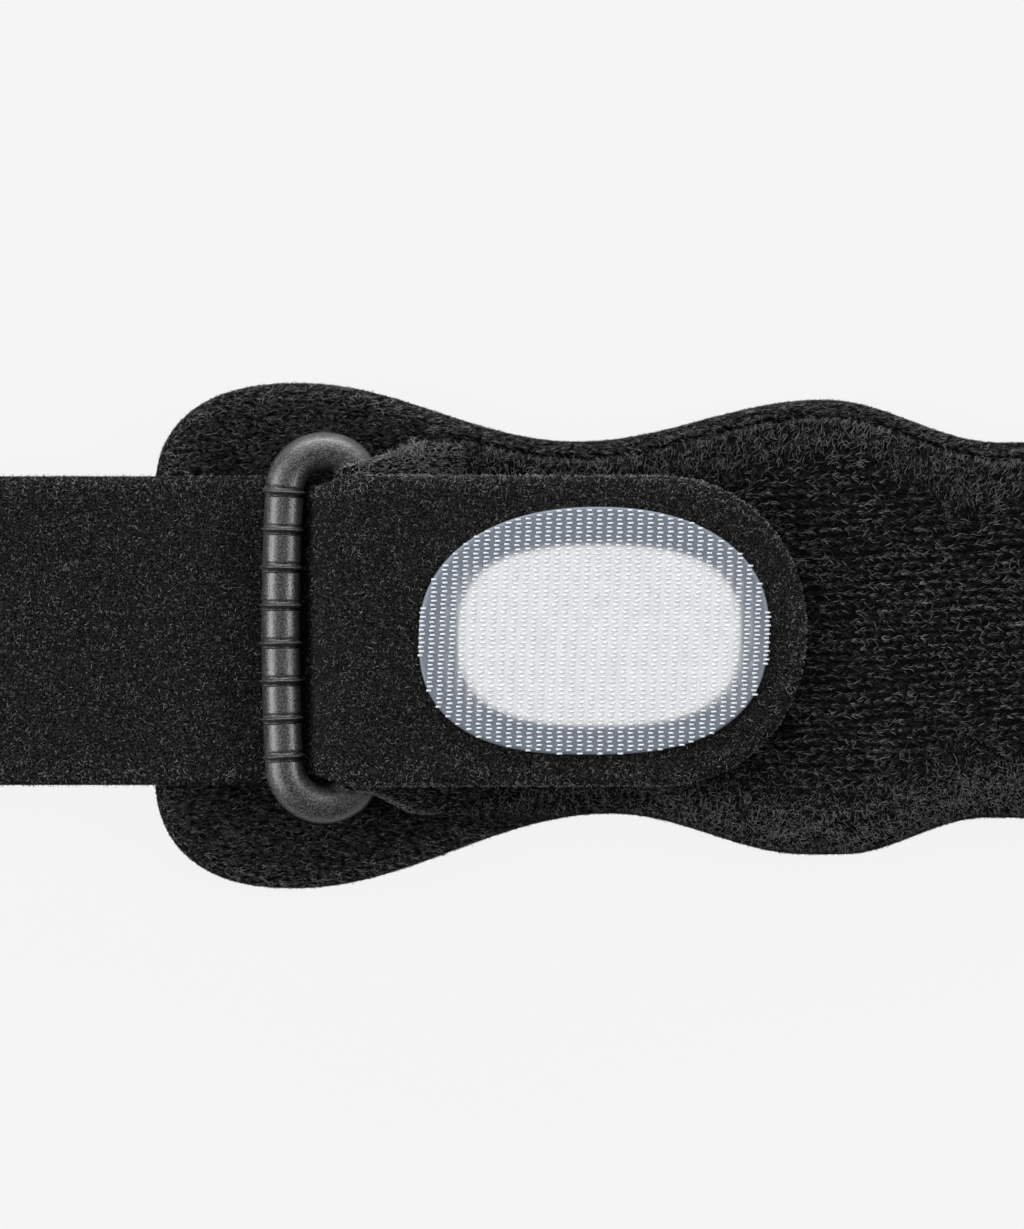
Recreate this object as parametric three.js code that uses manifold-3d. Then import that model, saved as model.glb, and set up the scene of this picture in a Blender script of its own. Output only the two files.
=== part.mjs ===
// A patella strap lying flat with its outer face up. Units are millimetres and +Z is up.
// A contoured pad carries a knitted cover. The cover's left end wraps one side of a plastic ring. A fabric strap is
// sewn onto the cover's right end, turns under the pad, comes back at the left, rises through the ring and ends in a
// rounded tip with a hook patch. The origin is at the middle of the base, on the surface that the strap lies on.
import * as THREE from "three";
import Module from "manifold-3d";

const wasm = await Module();
wasm.setup();

// Sizes of the whole
const clearance = 0.3; // gap kept between pieces that touch
const leftReach = 26.5; // from the pad's left end to the outside of the left turn of the strap
const rightReach = 6.5; // from the pad's right end to the outside of the right turn of the strap

// Pad
const padLength = 194;
const padHeight = 52.5;
const padThickness = 4;
const padEdgeRadius = 1.5;
const padCornerExponent = 2.4; // 2 is an ellipse, more is squarer
// Each row is a crest or a hollow of the wavy outline. The along columns are shares of half the pad's length from its
// end, and the top and bottom columns are shares of the pad's height from the strap's centre line.
const PAD_OUTLINE = [
  { name: "end lobe", topAlong: 0.155, top: 0.49, bottomAlong: 0.15, bottom: 0.51 },
  { name: "side waist", topAlong: 0.452, top: 0.374, bottomAlong: 0.488, bottom: 0.362 },
  { name: "side lobe", topAlong: 0.716, top: 0.457, bottomAlong: 0.71, bottom: 0.443 },
  { name: "middle waist", topAlong: 0.906, top: 0.372, bottomAlong: 0.892, bottom: 0.37 },
  { name: "middle", topAlong: 1, top: 0.376, bottomAlong: 1, bottom: 0.374 },
];

// Strap
const strapWidth = 32;
const strapThickness = 1.8;
const strapFreeLength = 49.8; // from the middle of the ring to the tip
const strapTipLength = 15.3; // length of the rounded tip
const strapRootLength = 16; // stretch that is sewn onto the cover
const strapPinch = 1.05; // how much each edge is drawn in where the strap passes the ring
const strapPinchReach = 5.5; // how far to each side of the ring's middle the pinch fades out

// Ring
const ringLength = 40.5;
const ringWidth = 12.2; // across the ends of the two bars
const barDiameter = 4;
const barBow = 0.4; // how far the middle of each bar stands out
const ringFromPadEnd = 17.7;
const ringOffset = 0.3; // the ring sits a little above the strap's centre line
const ribCount = 8;
const ribPitch = 3.9;
const ribHeight = 0.42;
const ribWidth = 0.5;

// Cover
const coverThickness = 1;
const coverTopMargin = 2.4; // from the pad's outline to the cover's raised edge
const coverBottomMargin = 0.8;
const coverLandingRadius = 12; // bend where the cover comes down from the ring onto the pad
const coverLandingReach = 14; // from the ring's right bar to where the cover lies flat
// Half widths of each end of the cover. The along column is a share of the landing reach, measured from the middle of
// the ring's right bar, and the top and bottom columns are shares of half the strap's width.
const COVER_SHOULDER = [
  { name: "above the bar", along: 0, top: 1.09, bottom: 1.035 },
  { name: "past the bar", along: 0.11, top: 1.13, bottom: 1.07 },
  { name: "neck", along: 0.21, top: 1.156, bottom: 1.12 },
  { name: "slope", along: 0.285, top: 1.188, bottom: 1.155 },
  { name: "shoulder", along: 0.366, top: 1.213, bottom: 1.185 },
];

// Hook patch
const patchLength = 36.4;
const patchWidth = 25.5;
const patchExponent = 2.4;
const patchFromTip = 22.2; // from the strap's tip to the middle of the patch
const filmThickness = 0.5; // over the white backing
const backingLength = 29;
const backingWidth = 18.6;
const backingExponent = 2.7;
const backingThickness = 0.4;
const backingShift = { along: 0.7, across: -0.5 }; // the backing sits a little off the middle of the film

// Heights, from the surface up
const halfStrap = strapThickness / 2;
const halfCover = coverThickness / 2;
const barRadius = barDiameter / 2;
const padBottom = strapThickness + clearance;
const padTop = padBottom + padThickness;
const strapTopHeight = padTop + clearance + halfStrap;
const coverHeight = padTop + clearance + halfCover;
const coverTop = coverHeight + halfCover;
const strapOnCoverHeight = coverTop + clearance + halfStrap;

// Places along the length, from the pad's middle
const halfPad = padLength / 2;
const leftBarHeight = strapTopHeight + halfStrap + clearance + barRadius;
const rightBarHeight = coverHeight + halfCover + clearance + barRadius;
const barSpan = ringWidth - barDiameter;
const ringTilt = Math.asin((leftBarHeight - rightBarHeight) / barSpan);
const ringMiddle = -halfPad + ringFromPadEnd;
const leftBar = ringMiddle - (barSpan / 2) * Math.cos(ringTilt);
const rightBar = ringMiddle + (barSpan / 2) * Math.cos(ringTilt);
const tipEnd = ringMiddle + strapFreeLength;
const coverLanding = rightBar + coverLandingReach;
const coverEnd = -rightBar; // the cover's two ends match
const strapRoot = coverEnd - strapRootLength;

function mesh(name, geometry, material) {
  const made = new THREE.Mesh(geometry, material);
  made.name = name;
  return made;
}

function finish(color, roughness, metalness = 0) {
  return new THREE.MeshStandardMaterial({ color, roughness, metalness });
}

// Joins equal loops of points into one closed skin, with a flat lid on the first and the last loop. The loops run
// anticlockwise as seen from the last one.
function skinOf(loops, lidTriangles) {
  const count = loops[0].length;
  const positions = loops.flat().flatMap((p) => [p.x, p.y, p.z]);
  const index = [];
  for (let row = 0; row + 1 < loops.length; row++) {
    for (let i = 0; i < count; i++) {
      const next = (i + 1) % count;
      const [a, b] = [row * count + i, row * count + next];
      index.push(a, b, b + count, a, b + count, a + count);
    }
  }
  const last = (loops.length - 1) * count;
  for (const [a, b, c] of lidTriangles) index.push(a, c, b, last + a, last + b, last + c);
  const geometry = new THREE.BufferGeometry();
  geometry.setAttribute("position", new THREE.Float32BufferAttribute(positions, 3));
  geometry.setIndex(index);
  return geometry;
}

// A plate with the given anticlockwise outline and rounded edges, from height 0 to its thickness.
function roundedPlate(outline, thickness, edgeRadius, edgeSteps) {
  const radius = Math.min(edgeRadius, thickness / 2);
  const levels = [];
  for (let i = 0; i <= edgeSteps; i++) {
    const angle = ((i / edgeSteps) * Math.PI) / 2;
    levels.push({ inset: radius * (1 - Math.sin(angle)), height: radius * (1 - Math.cos(angle)) });
  }
  const upper = levels.map(({ inset, height }) => ({ inset, height: thickness - height })).reverse();
  const all = thickness > 2 * radius ? [...levels, ...upper] : [...levels, ...upper.slice(1)];
  const loops = all.map(({ inset, height }) =>
    insetOutline(outline, inset).map((p) => new THREE.Vector3(p.x, p.y, height)),
  );
  return skinOf(loops, THREE.ShapeUtils.triangulateShape(outline, []));
}

function insetOutline(outline, inset) {
  return outline.map((point, i) => {
    const before = outline[(i + outline.length - 1) % outline.length];
    const after = outline[(i + 1) % outline.length];
    const along = new THREE.Vector2().subVectors(after, before).normalize();
    return new THREE.Vector2(point.x - along.y * inset, point.y + along.x * inset);
  });
}

// An oval between an ellipse and a rectangle.
function superellipse(length, width, exponent, steps) {
  const power = 2 / exponent;
  return Array.from({ length: steps }, (_, i) => {
    const angle = (i / steps) * 2 * Math.PI;
    const [c, s] = [Math.cos(angle), Math.sin(angle)];
    return new THREE.Vector2(
      (length / 2) * Math.sign(c) * Math.abs(c) ** power,
      (width / 2) * Math.sign(s) * Math.abs(s) ** power,
    );
  });
}

// A route in the XZ plane that runs straight between round turns, as a belt does. A stop with a radius is a turn round
// that centre: turn 1 is anticlockwise and -1 is clockwise, with X to the right and Z up.
function beltRoute(stops, arcStep, lineStep) {
  const legs = stops.slice(1).map((to, i) => {
    const from = stops[i];
    const offset = (to.turn ?? 0) * (to.radius ?? 0) - (from.turn ?? 0) * (from.radius ?? 0);
    const [dx, dz] = [to.x - from.x, to.z - from.z];
    const length = Math.sqrt(dx * dx + dz * dz - offset * offset);
    return { angle: Math.atan2(dz, dx) - Math.atan2(offset, length), length };
  });
  const stations = [];
  let travelled = 0;
  const add = (x, z, angle) => {
    const last = stations.at(-1);
    const step = last ? Math.hypot(x - last.x, z - last.z) : 0;
    if (last && step < 1e-6) return;
    travelled += step;
    stations.push({ x, z, angle, along: travelled });
  };
  stops.forEach((stop, i) => {
    const [into, out] = [legs[i - 1], legs[i]];
    const at = (angle) => {
      const side = (stop.turn ?? 0) * (stop.radius ?? 0);
      return [stop.x + Math.sin(angle) * side, stop.z - Math.cos(angle) * side, angle];
    };
    if (into && out && stop.radius) {
      const full = 2 * Math.PI;
      const sweep = ((((out.angle - into.angle) * stop.turn) % full) + full) % full;
      const steps = Math.max(1, Math.ceil(sweep / arcStep));
      for (let k = 0; k <= steps; k++) add(...at(into.angle + (stop.turn * sweep * k) / steps));
    } else {
      add(...at((out ?? into).angle));
    }
    if (!out) return;
    const { x, z } = stations.at(-1);
    const steps = Math.max(1, Math.ceil(out.length / lineStep));
    for (let k = 1; k < steps; k++) {
      const d = (out.length * k) / steps;
      add(x + Math.cos(out.angle) * d, z + Math.sin(out.angle) * d, out.angle);
    }
  });
  return stations;
}

// A strip of cloth along a route, with half-round edges. widthsAt gives the top and bottom half widths at a station.
function clothStrip(stations, thickness, widthsAt) {
  const half = thickness / 2;
  const edgeAngles = [-90, -45, 0, 45, 90].map(THREE.MathUtils.degToRad);
  const loops = stations.map((station) => {
    const { top, bottom } = widthsAt(station);
    const up = { x: -Math.sin(station.angle), z: Math.cos(station.angle) };
    const point = (y, height) =>
      new THREE.Vector3(station.x + up.x * height, y, station.z + up.z * height);
    return [
      ...edgeAngles.map((a) => point(top - half + half * Math.cos(a), half * Math.sin(a))),
      ...edgeAngles.map((a) => point(-bottom + half - half * Math.cos(a), -half * Math.sin(a))),
    ];
  });
  const flat = [...Array(edgeAngles.length * 2).keys()];
  const lid = flat.slice(1, -1).map((i) => [0, i, i + 1]);
  return skinOf(loops, lid);
}

// Half-cosine wave through the crests and hollows of one edge of the pad.
function edgeWave(fromEnd, alongKey, edgeKey) {
  const share = fromEnd / halfPad;
  const next = PAD_OUTLINE.findIndex((row) => row[alongKey] >= share);
  if (next <= 0) return PAD_OUTLINE[next < 0 ? PAD_OUTLINE.length - 1 : 0][edgeKey] * padHeight;
  const [a, b] = [PAD_OUTLINE[next - 1], PAD_OUTLINE[next]];
  const t = (share - a[alongKey]) / (b[alongKey] - a[alongKey]);
  return THREE.MathUtils.lerp(a[edgeKey], b[edgeKey], (1 - Math.cos(Math.PI * t)) / 2) * padHeight;
}

// Half height of the pad above or below the strap's centre line, at a place along the pad. The ends are round corners.
function padEdge(x, edgeKey) {
  const alongKey = edgeKey + "Along";
  const fromEnd = Math.max(0, halfPad - Math.abs(x));
  const cornerLength = PAD_OUTLINE[0][alongKey] * halfPad;
  const height = edgeWave(fromEnd, alongKey, edgeKey);
  if (fromEnd >= cornerLength) return height;
  const cornerHeight = 0.45 * PAD_OUTLINE[0][edgeKey] * padHeight;
  const t = 1 - fromEnd / cornerLength;
  return height - cornerHeight + cornerHeight * (1 - t ** padCornerExponent) ** (1 / padCornerExponent);
}

function padOutline() {
  const waveSteps = 44;
  const cornerSteps = 9;
  const places = [];
  const cornerLength = PAD_OUTLINE[0].topAlong * halfPad;
  for (let i = 0; i < cornerSteps; i++) {
    const angle = ((i / cornerSteps) * Math.PI) / 2;
    places.push(halfPad - cornerLength * (1 - Math.cos(angle) ** (2 / padCornerExponent)));
  }
  const waves = halfPad - cornerLength;
  for (let i = 0; i <= waveSteps; i++) places.push(waves * (1 - (2 * i) / waveSteps));
  for (let i = cornerSteps - 1; i >= 0; i--) places.push(-places[i]);
  const top = places.map((x) => new THREE.Vector2(x, padEdge(x, "top")));
  const bottom = places.map((x) => new THREE.Vector2(x, -padEdge(x, "bottom"))).reverse();
  return [...top, ...bottom];
}

function pad() {
  const edgeSteps = 3;
  const geometry = roundedPlate(padOutline(), padThickness, padEdgeRadius, edgeSteps);
  const made = mesh("pad", geometry, finish(0x1b1a1b, 0.95));
  made.position.z = padBottom;
  return made;
}

// Half width that the shoulder table gives, read in straight lines. Past the side waist the pad alone sets the width.
function shoulderEdge(x, key) {
  if (Math.abs(x) < halfPad * (1 - PAD_OUTLINE[1][key + "Along"])) return Infinity;
  const share = (-Math.abs(x) - rightBar) / coverLandingReach;
  const rows = COVER_SHOULDER;
  const next = rows.findIndex((row) => row.along >= share);
  if (next <= 0) return (rows.at(next < 0 ? -1 : 0)[key] * strapWidth) / 2;
  const [a, b] = [rows[next - 1], rows[next]];
  const t = (share - a.along) / (b.along - a.along);
  return (THREE.MathUtils.lerp(a[key], b[key], t) * strapWidth) / 2;
}

// The cover starts as a short flap under the ring's right bar, wraps the bar, comes down onto the pad and runs along it.
function cover() {
  const flapLift = coverThickness + clearance;
  const flapEnd =
    coverLanding - Math.sqrt(coverLandingRadius ** 2 - (coverLandingRadius - flapLift) ** 2) - 2 * clearance;
  const wrapRadius = barRadius + clearance + halfCover;
  const stops = [
    { x: flapEnd, z: coverHeight },
    { x: rightBar, z: rightBarHeight, radius: wrapRadius, turn: -1 },
    { x: coverLanding, z: coverHeight + coverLandingRadius, radius: coverLandingRadius, turn: 1 },
    { x: coverEnd, z: coverHeight },
  ];
  const arcStep = THREE.MathUtils.degToRad(15);
  const lineStep = 2.6;
  const barFlat = ringLength / 2 - ringWidth / 2;
  const throughRing = THREE.MathUtils.degToRad(20);
  const widthsAt = ({ x, angle }) => {
    if (angle > throughRing) return { top: barFlat + ringOffset, bottom: barFlat - ringOffset };
    return {
      top: Math.min(shoulderEdge(x, "top"), padEdge(x, "top") - coverTopMargin),
      bottom: Math.min(shoulderEdge(x, "bottom"), padEdge(x, "bottom") - coverBottomMargin),
    };
  };
  const geometry = clothStrip(beltRoute(stops, arcStep, lineStep), coverThickness, widthsAt);
  return mesh("cover", geometry, finish(0x1c1b1c, 0.95));
}

// A round bar bent into a long loop, with ribs raised on the outer and upper faces of its left side. It lies in its
// own XY plane.
function ring() {
  const sides = 12;
  const endRadius = barSpan / 2;
  const straight = ringLength / 2 - barRadius - endRadius;
  const centreline = [];
  const ribHalf = ribWidth / 2;
  const bowed = (y) => endRadius + barBow * (1 - (y / straight) ** 2);
  const addBar = (side, y, rise) => centreline.push({ x: side * bowed(y), y, rise });
  const endSteps = 10;
  const addEnd = (side) => {
    for (let i = 1; i < endSteps; i++) {
      const angle = (i / endSteps) * Math.PI;
      const [x, y] = [Math.cos(angle) * endRadius * side, side * (straight + Math.sin(angle) * endRadius)];
      centreline.push({ x, y, rise: 0 });
    }
  };
  const rightSteps = 10;
  for (let i = 0; i <= rightSteps; i++) addBar(1, straight * ((2 * i) / rightSteps - 1), 0);
  addEnd(1);
  addBar(-1, straight, 0);
  for (let i = 0; i < ribCount; i++) {
    const y = ((ribCount - 1) / 2 - i) * ribPitch;
    addBar(-1, y + ribWidth, 0);
    addBar(-1, y + ribHalf * 0.6, ribHeight);
    addBar(-1, y - ribHalf * 0.6, ribHeight);
    addBar(-1, y - ribWidth, 0);
  }
  addBar(-1, -straight, 0);
  addEnd(-1);
  const loops = centreline.map(({ x, y, rise }, i) => {
    const before = centreline[(i + centreline.length - 1) % centreline.length];
    const after = centreline[(i + 1) % centreline.length];
    const along = new THREE.Vector2(after.x - before.x, after.y - before.y).normalize();
    return Array.from({ length: sides }, (_, k) => {
      const angle = (k / sides) * 2 * Math.PI;
      const radius = barRadius + (k < sides / 2 ? rise : 0);
      const out = radius * Math.cos(angle);
      return new THREE.Vector3(x + along.y * out, y - along.x * out, radius * Math.sin(angle));
    });
  });
  const geometry = closedTube(loops);
  const made = mesh("ring", geometry, finish(0x3a3a3a, 0.45));
  made.position.set(ringMiddle, ringOffset, (leftBarHeight + rightBarHeight) / 2);
  made.rotation.y = ringTilt;
  return made;
}

// Joins equal loops into a tube whose last loop meets its first.
function closedTube(loops) {
  const count = loops[0].length;
  const index = [];
  loops.forEach((_, row) => {
    const [here, there] = [row * count, ((row + 1) % loops.length) * count];
    for (let i = 0; i < count; i++) {
      const next = (i + 1) % count;
      index.push(here + i, there + next, here + next, here + i, there + i, there + next);
    }
  });
  const geometry = new THREE.BufferGeometry();
  const positions = loops.flat().flatMap((p) => [p.x, p.y, p.z]);
  geometry.setAttribute("position", new THREE.Float32BufferAttribute(positions, 3));
  geometry.setIndex(index);
  return geometry;
}

// Where the free end of the strap leaves the ring, how steeply it slopes, and where its tip rests.
function strapStops() {
  const rightTurn = (strapOnCoverHeight - halfStrap) / 2;
  const leftTurn = (strapTopHeight - halfStrap) / 2;
  return [
    { x: strapRoot, z: strapOnCoverHeight },
    { x: halfPad + rightReach - halfStrap - rightTurn, z: halfStrap + rightTurn, radius: rightTurn, turn: -1 },
    { x: -halfPad - leftReach + halfStrap + leftTurn, z: halfStrap + leftTurn, radius: leftTurn, turn: -1 },
    { x: leftBar, z: leftBarHeight, radius: barRadius + clearance + halfStrap, turn: 1 },
    {
      x: rightBar,
      z: rightBarHeight,
      radius: barRadius + clearance + coverThickness + clearance + halfStrap,
      turn: -1,
    },
    { x: tipEnd, z: strapOnCoverHeight },
  ];
}

function strap(stations) {
  const end = stations.at(-1).along;
  const fromRing = ({ x, z }) => Math.hypot(x - ringMiddle, z - leftBarHeight);
  const ringAlong = stations.reduce((a, b) => (fromRing(b) < fromRing(a) ? b : a)).along;
  const widthsAt = ({ along }) => {
    const pastTip = Math.max(0, 1 - (end - along) / strapTipLength);
    const round = Math.sqrt(1 - pastTip ** 2);
    const near = Math.max(0, 1 - Math.abs(along - ringAlong) / strapPinchReach);
    const pinch = strapPinch * near * near * (3 - 2 * near);
    const half = Math.max(halfStrap, (strapWidth / 2 - pinch) * round);
    return { top: half, bottom: half };
  };
  return mesh("strap", clothStrip(stations, strapThickness, widthsAt), finish(0x242424, 0.95));
}

function strapStations() {
  const arcStep = THREE.MathUtils.degToRad(15);
  const lineStep = 12;
  const stations = beltRoute(strapStops(), arcStep, lineStep);
  const end = stations.at(-1);
  const tipSteps = 9;
  const slope = end.angle;
  const straight = stations.filter(({ along }) => along < end.along - strapTipLength);
  for (let i = 0; i <= tipSteps; i++) {
    const back = strapTipLength * (1 - Math.sin(((i / tipSteps) * Math.PI) / 2));
    const [x, z] = [end.x - Math.cos(slope) * back, end.z - Math.sin(slope) * back];
    straight.push({ x, z, angle: slope, along: end.along - back });
  }
  return straight;
}

function solidOf(geometry) {
  return new wasm.Manifold(
    new wasm.Mesh({
      numProp: 3,
      vertProperties: new Float32Array(geometry.getAttribute("position").array),
      triVerts: new Uint32Array(geometry.index.array),
    }),
  );
}

function geometryOf(solid) {
  const made = solid.getMesh();
  const geometry = new THREE.BufferGeometry();
  geometry.setAttribute("position", new THREE.BufferAttribute(made.vertProperties, 3));
  geometry.setIndex(new THREE.BufferAttribute(made.triVerts, 1));
  return geometry;
}

// A clear moulded film whose top carries the hooks, with a white backing in a pocket under it.
function hookPatch(stations) {
  const tip = stations.at(-1);
  const ovalSteps = 56;
  const edgeSteps = 2;
  const edgeRadius = 0.25;
  const pocketDepth = backingThickness + clearance;
  const film = roundedPlate(
    superellipse(patchLength, patchWidth, patchExponent, ovalSteps),
    filmThickness + pocketDepth,
    edgeRadius,
    edgeSteps,
  );
  const pocket = roundedPlate(
    superellipse(backingLength + 2 * clearance, backingWidth + 2 * clearance, backingExponent, ovalSteps),
    2 * pocketDepth,
    0,
    1,
  );
  pocket.translate(backingShift.along, backingShift.across, -pocketDepth);
  const backing = roundedPlate(
    superellipse(backingLength, backingWidth, backingExponent, ovalSteps),
    backingThickness,
    edgeRadius / 2,
    1,
  );
  backing.translate(backingShift.along, backingShift.across, 0);
  const patch = new THREE.Group();
  patch.add(
    mesh("hook_film", geometryOf(solidOf(film).subtract(solidOf(pocket))), finish(0xa6a9ae, 0.35)),
    mesh("hook_backing", backing, finish(0xe6e6e8, 0.6)),
  );
  const rise = halfStrap + clearance;
  patch.position.set(
    tip.x - Math.cos(tip.angle) * patchFromTip - Math.sin(tip.angle) * rise,
    0,
    tip.z - Math.sin(tip.angle) * patchFromTip + Math.cos(tip.angle) * rise,
  );
  patch.rotation.y = -tip.angle;
  return patch;
}

const patellaStrap = new THREE.Group();
const stations = strapStations();
patellaStrap.add(pad(), cover(), ring(), strap(stations), hookPatch(stations));
patellaStrap.position.set(
  (leftReach - rightReach) / 2,
  ((PAD_OUTLINE[0].bottom - PAD_OUTLINE[0].top) / 2) * padHeight,
  0,
);

export default patellaStrap;
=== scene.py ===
import bmesh
import bpy
import numpy as np
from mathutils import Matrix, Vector


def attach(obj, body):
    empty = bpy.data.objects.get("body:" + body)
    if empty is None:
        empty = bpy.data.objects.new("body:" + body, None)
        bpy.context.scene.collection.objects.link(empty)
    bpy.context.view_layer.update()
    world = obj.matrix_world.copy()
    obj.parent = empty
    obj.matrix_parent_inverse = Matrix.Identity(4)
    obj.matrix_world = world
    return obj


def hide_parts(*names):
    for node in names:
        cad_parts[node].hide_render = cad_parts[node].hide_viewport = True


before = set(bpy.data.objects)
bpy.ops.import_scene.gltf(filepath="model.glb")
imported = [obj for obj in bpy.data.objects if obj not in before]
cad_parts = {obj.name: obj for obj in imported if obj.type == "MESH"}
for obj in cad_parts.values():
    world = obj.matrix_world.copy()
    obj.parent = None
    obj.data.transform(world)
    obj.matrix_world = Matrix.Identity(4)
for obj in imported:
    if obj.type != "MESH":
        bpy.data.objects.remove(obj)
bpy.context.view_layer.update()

# The surface, the camera and the light
# The strap lies on a plain pale table and is seen from straight above. Soft studio light falls on it from low softboxes
# at its left, right and upper sides, from two higher ones and from a weak strip overhead.


def linear(hex_colour):
    """An sRGB hex colour as linear RGB with alpha 1: a channel up to 0.04045 is divided by 12.92, and a higher one
    follows the power 2.4."""
    srgb = np.array([int(hex_colour[i : i + 2], 16) for i in (1, 3, 5)]) / 255
    rgb = np.where(srgb <= 0.04045, srgb / 12.92, ((srgb + 0.055) / 1.055) ** 2.4)
    return (*rgb.tolist(), 1.0)


def add(tree, kind, links=(), stops=(), **settings):
    """Adds a node. settings are its properties or, where it has no such property, its input values, with _ for a space.
    links pairs an input with the output that feeds it, and stops are a ramp's positions and hex colours."""
    node = tree.nodes.new(kind)
    for number, (position, colour) in enumerate(stops):
        ramp = node.color_ramp.elements
        stop = ramp[number] if number < len(ramp) else ramp.new(position)
        stop.position, stop.color = position, linear(colour)
    for key, value in settings.items():
        if hasattr(node, key):
            setattr(node, key, value)
        else:
            node.inputs[key.replace("_", " ")].default_value = value
    for socket, source in links:
        tree.links.new(source, node.inputs[socket])
    return node


def new_material(name):
    """An empty material with its output node."""
    material = bpy.data.materials.new(name)
    material.use_nodes = True
    material.node_tree.nodes.clear()
    return material, material.node_tree


def put_mesh(name, points, faces, material, smooth=True):
    """A mesh object from points in millimetres and equal faces, given as rows of point numbers. Each object sits at the
    origin, and its place is in its mesh."""
    mesh = bpy.data.meshes.new(name)
    mesh.vertices.add(len(points))
    mesh.vertices.foreach_set("co", (np.asarray(points) * 0.001).astype(np.float32).ravel())
    mesh.loops.add(faces.size)
    mesh.loops.foreach_set("vertex_index", faces.astype(np.int32).ravel())
    mesh.polygons.add(len(faces))
    starts = np.arange(0, faces.size, faces.shape[1], dtype=np.int32)
    mesh.polygons.foreach_set("loop_start", starts)
    mesh.update(calc_edges=True)
    mesh.validate()
    if smooth:
        mesh.shade_smooth()
    mesh.materials.append(material)
    made = bpy.data.objects.new(name, mesh)
    bpy.context.scene.collection.objects.link(made)
    return made


# Matt white painted board. It gives the eye one even pale tone with a faint shadow, so most of its brightness is light
# of its own.
table_white, tree = new_material("painted_table_white")
surface = add(
    tree,
    "ShaderNodeBsdfPrincipled",
    Base_Color=linear("#262626"),
    Roughness=1.0,
    Specular_IOR_Level=0.0,
    Emission_Color=linear("#ffffff"),
    Emission_Strength=0.874,
)
add(tree, "ShaderNodeOutputMaterial", [("Surface", surface.outputs[0])])
table_reach = 9000.0
table_corners = np.array([[-1, -1, 0], [1, -1, 0], [1, 1, 0], [-1, 1, 0]]) * table_reach
table = put_mesh("table", table_corners, np.array([[0, 1, 2, 3]]), table_white)

world = bpy.data.worlds.new("studio")
world.use_nodes = True
world.node_tree.nodes["Background"].inputs["Color"].default_value = linear("#ffffff")
world.node_tree.nodes["Background"].inputs["Strength"].default_value = 0.2
bpy.context.scene.world = world
bpy.context.scene.view_settings.view_transform = "Standard"

# The middle of the view and its height there, in metres. The camera is so far off that the sides stay hidden.
view_middle = np.array([-0.0499, 0.0022, 0.008])
view_height = 0.12727
camera_distance = 1.0
sensor = 36.0
lens = bpy.data.cameras.new("camera")
lens.sensor_width = sensor
lens.lens = sensor * camera_distance / view_height
lens.clip_start = 0.05
lens.clip_end = 60
camera = bpy.data.objects.new("camera", lens)
camera.location = view_middle + (0, 0, camera_distance)
bpy.context.scene.collection.objects.link(camera)
bpy.context.scene.camera = camera


def softbox(name, place, width, height, power):
    """A rectangular lamp that faces the middle of the view. Its place is measured from there, in metres."""
    lamp = bpy.data.lights.new(name, "AREA")
    lamp.shape = "RECTANGLE"
    lamp.size = width
    lamp.size_y = height
    lamp.energy = power
    made = bpy.data.objects.new(name, lamp)
    made.location = view_middle + place
    towards = made.location - Vector(view_middle)
    made.rotation_euler = towards.to_track_quat("Z", "Y").to_euler()
    bpy.context.scene.collection.objects.link(made)


softbox("left_softbox", (-0.82, 0.0, 0.42), 0.85, 0.4, 12)
softbox("right_softbox", (0.7, 0.05, 0.5), 0.55, 0.25, 6)
softbox("upper_softbox", (0.05, 0.9, 0.24), 1.3, 0.3, 16)
softbox("high_softbox", (0.1, 0.75, 0.8), 0.9, 0.4, 5)
softbox("overhead_strip", (-0.05, 0.36, 0.92), 0.5, 0.2, 0.7)
softbox("left_high_softbox", (-0.62, -0.08, 0.7), 0.9, 0.25, 2.2)

# The pad
# A flat foam pad covered in short brushed plush, with two wide end lobes and shallow waves along both sides. Its upper
# side edge is rolled into a narrow lip that a stitched groove divides from the knitted cover.

pad_length, pad_height, pad_thickness = 194.0, 52.5, 4.0
pad_middle_x = 10.0
strap_middle_y = 0.525
pad_bottom = 2.1
pad_top = pad_bottom + pad_thickness
half_pad = pad_length / 2
# Each end is rounded by a superellipse, where 2 is an ellipse and more is squarer. It takes off corner_share of the
# lobe's height at the very end.
corner_exponent = 2.4
corner_share = 0.45
# Crests and hollows of each side: share of half the length from the end, then share of the height from the middle.
pad_waves = {
    "top": [(0.155, 0.49), (0.452, 0.374), (0.716, 0.457), (0.906, 0.372), (1.0, 0.376)],
    "bottom": [(0.15, 0.51), (0.488, 0.362), (0.7, 0.443), (0.735, 0.443), (0.892, 0.37), (1.0, 0.374)],
}


def pad_edge(x, side):
    """Height of the pad's side edge from the strap's middle line, at places x from the pad's middle. Half cosines join
    the crests and hollows, and a superellipse rounds each end."""
    along, high = np.array(pad_waves[side]).T
    from_end = np.clip(half_pad - np.abs(x), 0, None)
    share = np.clip(from_end / half_pad, along[0], 1)
    row = np.clip(np.searchsorted(along, share) - 1, 0, len(along) - 2)
    t = (share - along[row]) / (along[row + 1] - along[row])
    wave = high[row] + (high[row + 1] - high[row]) * (1 - np.cos(np.pi * t)) / 2
    away = np.clip(1 - from_end / (along[0] * half_pad), 0, 1)
    rounding = corner_share * high[0] * (1 - (1 - away**corner_exponent) ** (1 / corner_exponent))
    return (wave - rounding) * pad_height


def grid_faces(rows, columns, around=False):
    """Quads of a grid of points in rows. around joins the last column to the first."""
    row, column = np.meshgrid(np.arange(rows - 1), np.arange(columns if around else columns - 1), indexing="ij")
    after = (column + 1) % columns
    corners = [row * columns + column, row * columns + after, (row + 1) * columns + after, (row + 1) * columns + column]
    return np.stack(corners, -1).reshape(-1, 4)


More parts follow.
